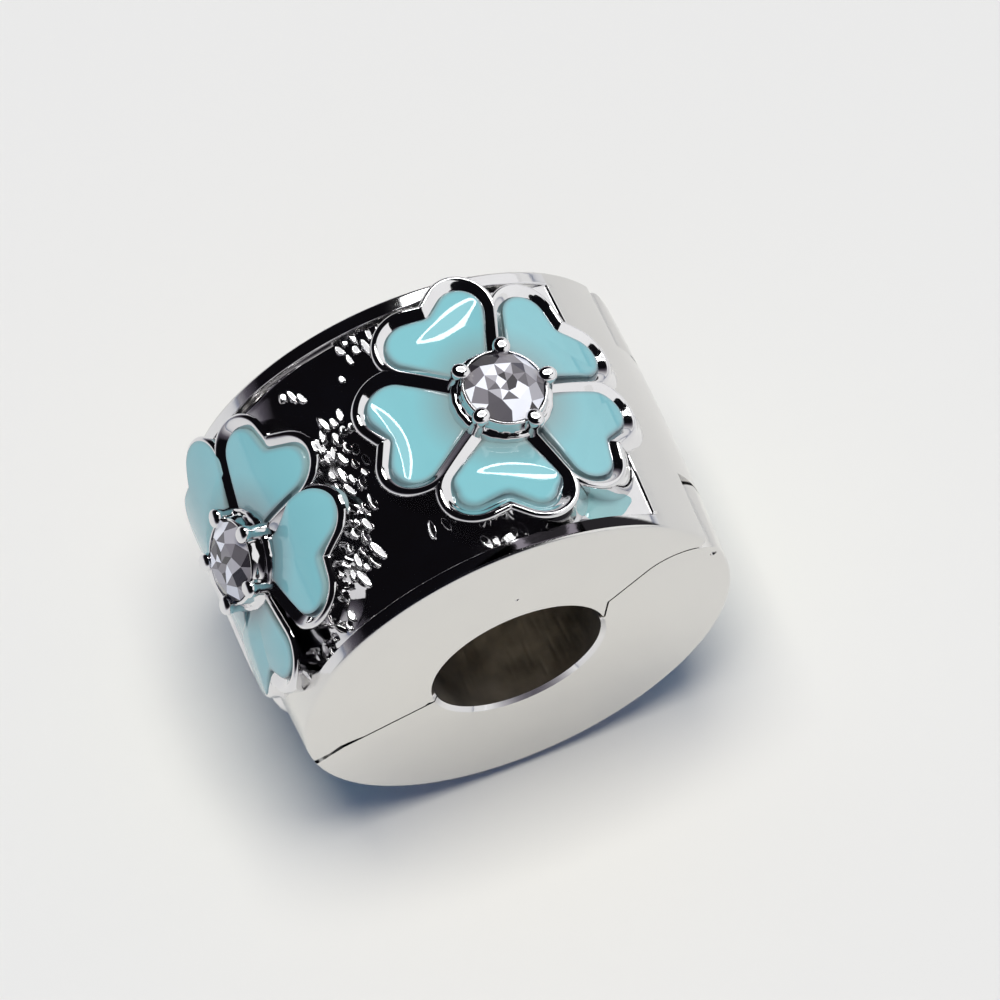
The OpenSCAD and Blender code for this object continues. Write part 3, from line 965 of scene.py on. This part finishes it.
def enamelRings(number, p):
    # plan points of one petal from its edge to its middle, each with its distance in from the edge
    centre = np.array([enamel["centre"], 0.0])
    out = enamel["floodOut"] * flooded(heart[:, 0], heart[:, 1], number, p)
    edge = heart - heartOut * (enamel["gap"] + shortBy(heart[:, 0], number, p) - out)[:, None]
    inward = centre - edge
    inward /= np.hypot(*inward.T)[:, None]
    rings = [edge + inward * step for step in enamel["steps"]]
    shares = np.linspace(0, 1, enamel["shares"] + 1)[1:-1]
    rings += [rings[-1] + (centre - rings[-1]) * share for share in shares] + [centre[None]]
    insets = [np.sqrt(((ring[:, None, :] - edge[None]) ** 2).sum(2)).min(1) for ring in rings]
    return rings, insets


def enamelHeight(ring, inset, number, p):
    # radius about the bore of the enamel's surface
    place, bend, middle, slope, rise, tilt, crown = ridges.get((planIndex(number), p), plainRidge)
    u, v = ring[:, 0], ring[:, 1]
    away = u - place - bend * (v - middle) ** 2
    roof = slope * (np.sqrt(away ** 2 + enamel["roofRound"] ** 2) - enamel["roofRound"])
    step = rise * (1 / (1 + np.exp(-away / enamel["stepWidth"])) - 1)
    inner = np.clip(1 - (np.hypot(u, v) - enamel["sinkFrom"]) / enamel["sinkRun"], 0, 1)
    short = shortBy(u, number, p)
    shoulder = np.clip(1 - inset / (enamel["shoulder"] + enamel["shortWiden"] * short), 0, 1) ** 2
    over = flooded(u, v, number, p)
    drop = enamel["shoulderDrop"] * (1 + over) + enamel["shortDrop"] * short
    level = enamel["level"] - crown * (v - middle) ** 2 - roof + step
    level -= enamel["sink"] * inner ** enamel["sinkPower"]
    return level + enamel["floodUp"] * over + tilt * np.minimum(away, 0) - drop * shoulder


def enamelTone(ring, inset):
    thin = np.clip(1 - (np.hypot(*ring.T) - greying["thinFrom"]) / greying["thinRun"], 0, 1)
    edge = greying["edge"] * np.exp(-(inset / greying["edgeWidth"]) ** 2)
    return np.clip(edge + greying["thin"] * thin ** greying["thinPower"], 0, 1)


def enamelPetal(number, p):
    index, way = planIndex(number), petalTurn(p, number)
    rings, insets = enamelRings(number, p)
    points = [onBead(turned(rings[0], way), enamel["floorRadius"], index)]
    points += [onBead(turned(ring, way), enamelHeight(ring, inset, number, p), index)
               for ring, inset in zip(rings, insets)]
    count, layers = len(heart), len(points) - 1
    faces = gridFaces(layers, count, True) + fanFaces((layers - 1) * count, count, layers * count)
    faces.append(tuple(range(count)))
    piece = meshObject(f"enamel{number}_{p}", onItsHalf(np.vstack(points), number), faces)
    tones = [enamelTone(ring, inset) for ring, inset in zip(rings, insets)]
    addShares(piece, "edge", "POINT", np.concatenate([np.ones(count)] + tones))
    tidyMesh(piece)
    return finishPiece(piece, bodyOf(number), [glaze], enamel["sharp"], [f"petal_{number}_{p}"])


# a pool of enamel: angle and place, half lengths round and along, the waves of its outline, greying
spill = {
    "angle": 43.5, "y": -2.95, "halfTurn": 0.8, "halfAlong": 0.42, "radius": 5.4, "height": 0.05,
    "sunk": 0.015, "deep": 0.08, "yLimits": (-3.42, 3.4), "waves": (0.08, 0.05), "sides": 48, "rings": 12,
    "middle": 0.04, "tone": 0.45,
}


def enamelSpill():
    # a thin pool of enamel left on the ground in the corner beside the hinge
    sides = spill["sides"]
    way = fullTurn(sides)
    wobble = 1 + spill["waves"][0] * np.sin(3 * way + 1) + spill["waves"][1] * np.sin(5 * way)
    shares = np.sin(np.linspace(math.pi / 2, spill["middle"], spill["rings"]))
    layers = [(1.0, -spill["deep"])]
    layers += [(share, spill["height"] * math.sqrt(1 - share * share) - spill["sunk"]) for share in shares]
    points = []
    for share, lift in layers:
        out = share * wobble
        turn = math.radians(spill["angle"]) + out * np.cos(way) * spill["halfTurn"] / spill["radius"]
        y = np.clip(spill["y"] + out * np.sin(way) * spill["halfAlong"], *spill["yLimits"])
        radius = recessRadius(turn, y, bead["castSeeds"]["upper"]) + lift
        points.append(roundBead(turn, y, radius))
    piece = meshObject("enamelSpill", np.vstack(points), closedFaces(len(layers), sides))
    addShares(piece, "edge", "POINT", np.full(len(layers) * sides, spill["tone"]))
    tidyMesh(piece)
    return finishPiece(piece, "upper", [glaze], enamel["sharp"])


petalPieces = [enamelPetal(number, p) for number in flower["numbers"] for p in petals]
enamelSpill()
print("enamel ready:", sum(len(piece.data.polygons) for piece in petalPieces))


# Chips of the pebbled ground

# cast chips stand in patches on the ground; their flat tops all face about the same way
chips = {
    "halfWidth": 0.085, "halfLength": 0.21, "height": 0.045, "power": 8.0, "sides": 14, "sharp": 60,
    "tops": [0.3, 0.5, 0.66, 0.8, 0.9, 0.97, 1.0],
    # below the top: share of the size and depth, and how the chips are lifted off the ground
    "foot": [(0.95, -0.13), (0.6, -0.26)], "lift": 0.02, "liftShare": 0.8,
    # the way the tops face, round the bead and along it, and how much each chip differs
    "facing": 23.0, "facingSpread": 4.0, "dipSpread": 3.5, "spin": (10, 14), "grow": (0.75, 1.2),
    "stretch": (0.55, 1.35),
    # room between chips, measured round and along the bead, to the petals' rims and to the end walls
    "spacing": 0.25, "spread": (0.8, 1.6), "radius": 5.4, "rimRadius": 6.05, "clear": 0.33, "edge": 3.46,
    # patches: angle round the bead, place along it, half lengths both ways in mm
    "patches": [(-15, 1.35, 0.5, 0.6), (-15.5, 0.4, 0.62, 0.7), (-18.5, -0.7, 0.5, 0.65),
                (-27, -1.75, 0.95, 0.72), (-7.4, 2.36, 0.14, 0.2), (-11.5, 1.7, 0.1, 0.25),
                (-22, 2.75, 0.3, 0.25), (-4, 2.95, 0.1, 0.25), (8, 3.2, 1.15, 0.35), (-36, -3.0, 0.5, 0.14),
                (-44, -3.1, 0.3, 0.2), (14, -3.2, 0.6, 0.12), (29, -3.25, 0.5, 0.1), (-1, -2.3, 0.3, 0.12),
                (-74, 2.9, 0.4, 0.35)],
    "tries": 60, "leastTries": 8, "placeSeed": 12, "shapeSeed": 5,
    # single chips, which lean to the front: angle round the bead and place along it
    "single": [(-57, -2.62), (-50, -2.88), (-63, -2.62), (-57.5, -3.0), (-53, -3.2)],
    "singleFacing": -40.0, "singleDip": -21.0,
}


def fromPetals(turn, y, index):
    # distance from a place on the ground to the nearest petal's edge straight above it, below zero inside
    rim = chips["rimRadius"]
    above = math.asin(field["groundRadius"] * math.sin(turn) / rim) - math.radians(flower["angles"][index])
    spot = np.array([[rim * math.sin(above), y - flower["y"]]])
    spot = turned(spot, -math.radians(flower["turns"][index]))
    distances = []
    for p in petals:
        away = turned(spot, -petalTurn(p, index + 1))[0] - heart
        k = np.argmin((away ** 2).sum(1))
        distances.append(np.hypot(*away[k]) * (1 if away[k] @ heartOut[k] > 0 else -1))
    return min(distances)


def isFree(turn, y, places):
    # whether a chip has room here
    across, along = chips["spread"]
    near = [math.hypot((turn - t) * chips["radius"] / across, (y - s) / along) for t, s in places]
    return min(near, default=math.inf) > chips["spacing"] and abs(y) < chips["edge"] \
        and min(fromPetals(turn, y, 0), fromPetals(turn, y, 1)) > chips["clear"]


def chipPlaces():
    chance = np.random.default_rng(chips["placeSeed"])
    places = [(math.radians(angle), y) for angle, y in chips["single"]]
    for angle, along, halfTurn, halfAlong in chips["patches"]:
        tries = int(chips["tries"] * halfTurn * halfAlong / chips["spacing"] ** 2) + chips["leastTries"]
        for attempt in range(tries):
            reach, way = math.sqrt(chance.random()), chance.random() * 2 * math.pi
            turn = math.radians(angle) + reach * math.cos(way) * halfTurn / field["groundRadius"]
            y = along + reach * math.sin(way) * halfAlong
            if isFree(turn, y, places):
                places.append((turn, y))
    return places


def chipPoints(turn, y, facing, dipped, layers, chance):
    # the middle of a chip's top, then its rings from the top down
    spot = (np.array([turn]), np.array([y]))
    ground = roundBead(*spot, recessRadius(*spot, bead["castSeeds"]["upper"]))[0]
    face = math.radians(facing + chance.normal(0, chips["facingSpread"]))
    dip = math.radians(dipped + chance.normal(0, chips["dipSpread"]))
    spin = math.radians(chance.normal(*chips["spin"]))
    grow = chance.uniform(*chips["grow"])
    stretch = chance.uniform(*chips["stretch"])
    up = np.array([math.sin(face) * math.cos(dip), math.sin(dip), math.cos(face) * math.cos(dip)])
    across = np.cross([0, 1, 0], up)
    across /= np.linalg.norm(across)
    along = np.cross(up, across)
    wide = (across * math.cos(spin) + along * math.sin(spin)) * chips["halfWidth"]
    tall = (along * math.cos(spin) - across * math.sin(spin)) * chips["halfLength"] * stretch
    lift = chips["liftShare"] * chips["halfWidth"] * abs(math.sin(face - turn)) + chips["lift"]
    centre = ground + up * lift
    points = [centre + up * (chips["height"] * grow)]
    for size, height in layers:
        for a in fullTurn(chips["sides"]):
            side = size * (wide * math.cos(a) + tall * math.sin(a))
            points.append(centre + grow * (side + up * height))
    return points


def chipPieces():
    chance = np.random.default_rng(chips["shapeSeed"])
    count = chips["sides"]
    layers = domed(chips["tops"], chips["power"], chips["height"]) + chips["foot"]
    points, faces = [], []
    for k, (turn, y) in enumerate(chipPlaces()):
        facing, dipped = chips["facing"], 0.0
        if k < len(chips["single"]):
            facing, dipped = chips["singleFacing"], chips["singleDip"]
        first = len(points)
        points += chipPoints(turn, y, facing, dipped, layers, chance)
        faces += fanFaces(first + 1, count, first)
        faces += gridFaces(len(layers), count, True, first + 1)
        faces.append(tuple(first + 1 + (len(layers) - 1) * count + k for k in range(count)))
    for name, body, move in (("upperChips", "upper", np.asarray), ("lowerChips", "lower", mirrorDown)):
        piece = meshObject(name, move(np.array(points)), faces)
        tidyMesh(piece)
        finishPiece(piece, body, [polished], chips["sharp"])
    print("chips ready:", len(points) // (1 + len(layers) * count))


chipPieces()


# Collets, claws and stones

setting = {
    # collet profile: distance from the stem, height above the bore's axis
    "collet": [(0.05, 5.53), (0.5, 5.9), (0.94, 6.27), (0.992, 6.33), (0.996, 6.385),
               (1.008, 6.405), (1.03, 6.41), (1.052, 6.398), (1.065, 6.36), (1.075, 6.25),
               (1.09, 6.14), (1.12, 6.085), (1.16, 6.075), (1.205, 6.07), (1.24, 6.045),
               (1.262, 6.0), (1.27, 5.9), (1.27, 5.4)],
    "colletFloor": 5.50, "sides": 96, "sharp": 45,
    # small waves round the collet's skirt: from which radius on, share of the radius and count
    "wavesFrom": 1.1, "wave": 0.006, "waves": 23,
    "clawOut": 1.11, "clawHeight": 6.43, "clawRadii": (0.25, 0.22, 0.17), "clawPower": 3.0, "clawSides": 28,
    "clawTops": [0.03, 0.2, 0.35, 0.5, 0.62, 0.73, 0.82, 0.9, 0.96, 0.99, 1.0],
    # under the claw's pad: share of its size and distance down, then the stem's share and height
    "clawUnder": [(0.97, 0.06), (0.9, 0.12), (0.84, 0.2)], "clawStem": [(0.95, 6.0), (1.05, 5.6)],
}


def placed(points, number):
    # stands points drawn about a vertical stem on their flower
    spun = np.array(points, float)
    spun[:, :2] = turned(spun[:, :2], math.radians(flower["turns"][planIndex(number)]))
    return onItsHalf(alongStem(spun, planIndex(number)), number)


def claw(number, angle):
    # a rounded pad with a nearly flat top on a short tapered stem
    along, across, tall = setting["clawRadii"]
    pad, sides = setting["clawHeight"], setting["clawSides"]
    turn = fullTurn(sides)
    layers = domed(setting["clawTops"], setting["clawPower"], tall, pad)
    layers += [(size, pad - down) for size, down in setting["clawUnder"]] + setting["clawStem"]
    points = []
    for size, height in layers:
        out = setting["clawOut"] + along * size * np.cos(turn)
        plan = np.column_stack([out, across * size * np.sin(turn)])
        points.append(np.column_stack([turned(plan, angle), np.full(sides, height)]))
    return placed(np.vstack(points), number), closedFaces(len(layers), sides)


def stoneSetting(number):
    # a collet, hollow down to its floor, with one claw between each two petals
    sides, rows = setting["sides"], len(setting["collet"])
    turn = fullTurn(sides)
    ring = np.stack([np.cos(turn), np.sin(turn)], axis=1)
    points = []
    for radius, height in setting["collet"]:
        wave = setting["wave"] if radius > setting["wavesFrom"] else 0
        out = radius * (1 + wave * np.sin(turn * setting["waves"] + number))
        points.append(np.column_stack([ring * out[:, None], np.full(sides, height)]))
    middles = [[[0, 0, setting["colletFloor"]]], [[0, 0, setting["collet"][-1][1]]]]
    faces = gridFaces(rows, sides, True) + fanFaces(0, sides, rows * sides)
    faces += fanFaces((rows - 1) * sides, sides, rows * sides + 1)
    piece = meshObject(f"stoneSetting{number}", placed(np.vstack(points + middles), number), faces)
    tidyMesh(piece)
    for p in petals:
        addPart(piece, *claw(number, petalTurn(p) + math.pi / flower["petals"]))
    return finishPiece(piece, bodyOf(number), [polished], setting["sharp"])


stoneCut = {
    "girdleRadius": 0.98, "girdle": (6.33, 6.39), "tableRadius": 0.55, "tableHeight": 6.65,
    "starRadius": 0.76, "starHeight": 6.54, "innerRadius": 0.27, "culet": 5.53, "turn": 0.2, "sharp": 1.0,
    # painted reflections: shares of light painted on the facets, how often each comes, and the seed of the
    # draw
    "tones": [0.0, 0.15, 0.35, 0.6, 1.0], "often": [0.2, 0.18, 0.2, 0.16, 0.26], "seed": 31,
}


def stoneRing(number, radius, height, count, offset=0.0):
    turn = 2 * math.pi * (np.arange(count) + offset) / count + stoneCut["turn"] * number
    return np.column_stack([radius * np.cos(turn), radius * np.sin(turn), np.full(count, height)])


def stonePoints(number):
    # table, its inner ring, the stars' corners, both edges of the girdle, the table's middle and the culet
    low, high = stoneCut["girdle"]
    tableHeight = stoneCut["tableHeight"]
    return np.vstack([stoneRing(number, stoneCut["tableRadius"], tableHeight, 8),
                      stoneRing(number, stoneCut["innerRadius"], tableHeight, 8, 0.5),
                      stoneRing(number, stoneCut["starRadius"], stoneCut["starHeight"], 8, 0.5),
                      stoneRing(number, stoneCut["girdleRadius"], high, 16),
                      stoneRing(number, stoneCut["girdleRadius"], low, 16),
                      [[0, 0, tableHeight], [0, 0, stoneCut["culet"]]]])


def stoneFaces():
    # table, eight stars, eight kites, sixteen girdle facets and an eight-sided back
    table, inner, star, upperRing, lowerRing, middle, culet = 0, 8, 16, 24, 40, 56, 57
    faces = []
    for k in range(8):
        after, before = (k + 1) % 8, (k - 1) % 8
        a, b, c = 2 * k, 2 * k + 1, (2 * k + 2) % 16
        faces += [(middle, inner + before, inner + k), (inner + before, table + k, inner + k),
                  (inner + k, table + k, table + after), (table + k, star + k, table + after),
                  (table + k, star + before, upperRing + a, star + k),
                  (star + k, upperRing + a, upperRing + b), (star + k, upperRing + b, upperRing + c),
                  (upperRing + a, lowerRing + a, lowerRing + b, upperRing + b),
                  (upperRing + b, lowerRing + b, lowerRing + c, upperRing + c),
                  (culet, lowerRing + a, lowerRing + b), (culet, lowerRing + b, lowerRing + c)]
    return faces


def cutStone(number):
    faces = stoneFaces()
    piece = meshObject(f"cutStone{number}", placed(stonePoints(number), number), faces)
    chance = np.random.default_rng(stoneCut["seed"] + number)
    # painted reflections: each facet gets a drawn share of light as its colour
    addShares(piece, "tone", "FACE", chance.choice(stoneCut["tones"], len(faces), p=stoneCut["often"]))
    tidyMesh(piece)
    return finishPiece(piece, bodyOf(number), [crystal], stoneCut["sharp"], [f"stone_{number}"])


for number in flower["numbers"]:
    stoneSetting(number)
    cutStone(number)
print("settings ready")


# Floor, light and camera

paper = {"half": 1.5, "sockets": {"Base Color": (0.752, 0.735, 0.664, 1), "Roughness": 0.9}}


def paperFloor():
    half, top = paper["half"], cadBox[0][2]
    corners = [(-half, -half, top), (half, -half, top), (half, half, top), (-half, half, top)]
    floor = meshObject("floor", corners, [(0, 1, 2, 3)])
    material, shader = newMaterial("palePaper")
    setSockets(shader, paper["sockets"])
    floor.data.materials.append(material)


overhead = {"place": (0.0, -0.004, 0.42), "size": 0.22, "power": 2.04, "colour": (1.0, 0.975, 0.925)}


def overheadLight():
    # a soft lamp that lights the scene but doesn't show in reflections
    data = bpy.data.lights.new("overheadSoft", "AREA")
    data.energy = overhead["power"]
    data.color = overhead["colour"]
    data.size = overhead["size"]
    light = bpy.data.objects.new("overheadSoft", data)
    light.location = overhead["place"]
    light.rotation_euler = (-Vector(overhead["place"])).to_track_quat("-Z", "Y").to_euler()
    light.visible_glossy = False
    bpy.context.scene.collection.objects.link(light)


# glowing shapes that only show in reflections, all the same distance from the bead
glowDistance = 0.45
# a ring lamp and its dim middle; half widths across and along world Y, in degrees seen from the bead
ringLamp = {
    "azimuth": 45.5, "elevation": 52.0, "inner": (15.0, 8.5), "outer": (17.6, 11.1), "sides": 96,
    "strength": 12.0, "middleStrength": 1.0,
}
# bowed cards: azimuths, elevations and strength
glowCards = {"rightCard": ((45, 78), (8, 38), 0.95), "highCard": ((78, 142), (8, 56), 0.95)}


def towards(turn, rise):
    # a direction by its angle from world Y towards X and its height
    return Vector((math.cos(rise) * math.sin(turn), math.cos(rise) * math.cos(turn), math.sin(rise)))


def glowing(piece, strength):
    material, shader = newMaterial(piece.name + "Glow")
    glow = {"Base Color": (0, 0, 0, 1), "Emission Color": (1, 1, 1, 1), "Emission Strength": strength}
    setSockets(shader, glow)
    piece.data.materials.append(material)
    piece.visible_diffuse = False
    piece.visible_camera = False
    piece.visible_shadow = False


def ringPart(name, outline, faces, strength):
    points = [(glowDistance * math.tan(math.radians(x)), glowDistance * math.tan(math.radians(y)), 0)
              for x, y in outline]
    piece = meshObject(name, points, faces)
    glowing(piece, strength)
    away = towards(math.radians(ringLamp["azimuth"]), math.radians(ringLamp["elevation"]))
    piece.location = away * glowDistance
    across = Vector((0, 1, 0)).cross(away).normalized()
    piece.rotation_euler = Matrix((across, away.cross(across), away)).transposed().to_euler()


def glowCard(name, azimuths, elevations, strength):
    rows, columns = 9, 17
    points = [glowDistance * towards(turn, rise) for rise in np.radians(np.linspace(*elevations, rows))
              for turn in np.radians(np.linspace(*azimuths, columns))]
    glowing(meshObject(name, points, gridFaces(rows, columns)), strength)


# what reflections see: a light horizon under a dark ceiling, higher towards the right and the front;
# every other ray sees the cool fill
sky = {
    "tilt": (-0.16, 0.14, 1.0), "fill": (0.058, 0.110, 0.282, 1),
    "stops": {0.02: (0.86, 0.86, 0.85, 1), 0.14: (0.50, 0.49, 0.51, 1), 0.30: (0.10, 0.09, 0.11, 1),
              0.44: (0.0045, 0.004, 0.005, 1)},
}


def studioWorld():
    world = bpy.data.worlds.new("studio")
    bpy.context.scene.world = world
    world.use_nodes = True
    tree = world.node_tree
    where = newNode(tree, "ShaderNodeTexCoord")
    tilt = newNode(tree, "ShaderNodeVectorMath", {1: sky["tilt"]}, operation="DOT_PRODUCT")
    ramp = newNode(tree, "ShaderNodeValToRGB")
    fillRamp(ramp, sky["stops"])
    path = newNode(tree, "ShaderNodeLightPath")
    pick = newNode(tree, "ShaderNodeMix", {"A": sky["fill"]}, data_type="RGBA")
    wire(where, "Generated", tilt, 0)
    wire(tilt, "Value", ramp, "Fac")
    wire(path, "Is Glossy Ray", pick, "Factor")
    wire(ramp, "Color", pick, "B")
    wire(pick, "Result", tree.nodes["Background"], "Color")


view = {
    "azimuth": -17.2, "elevation": 63.15, "roll": -5.74, "distance": 0.22, "lens": 323.3, "sensor": 36,
    "aim": (0.001178, 0.000250, 0.000297), "clip": (0.01, 10),
}


def photoCamera():
    # the photo's angle
    data = bpy.data.cameras.new("camera")
    data.lens = view["lens"]
    data.sensor_width = view["sensor"]
    data.clip_start, data.clip_end = view["clip"]
    camera = bpy.data.objects.new("camera", data)
    bpy.context.scene.collection.objects.link(camera)
    turn, rise, roll = (math.radians(view[key]) for key in ("azimuth", "elevation", "roll"))
    back = Vector((math.sin(turn) * math.cos(rise), -math.cos(turn) * math.cos(rise), math.sin(rise)))
    camera.location = Vector(view["aim"]) + back * view["distance"]
    camera.rotation_mode = "QUATERNION"
    rolled = Matrix.Rotation(roll, 4, "Z").to_quaternion()
    camera.rotation_quaternion = back.to_track_quat("Z", "Y") @ rolled
    bpy.context.scene.camera = camera


paperFloor()
overheadLight()
lampSides = ringLamp["sides"]
lampOutline = [(wide * math.cos(a), high * math.sin(a))
               for wide, high in (ringLamp["inner"], ringLamp["outer"]) for a in fullTurn(lampSides)]
ringPart("ringLight", lampOutline, gridFaces(2, lampSides, True), ringLamp["strength"])
ringPart("ringDiffuser", lampOutline[:lampSides], [tuple(range(lampSides))], ringLamp["middleStrength"])
for name, card in glowCards.items():
    glowCard(name, *card)
studioWorld()
photoCamera()
bpy.context.scene.view_settings.view_transform = "Standard"
print("stage ready")
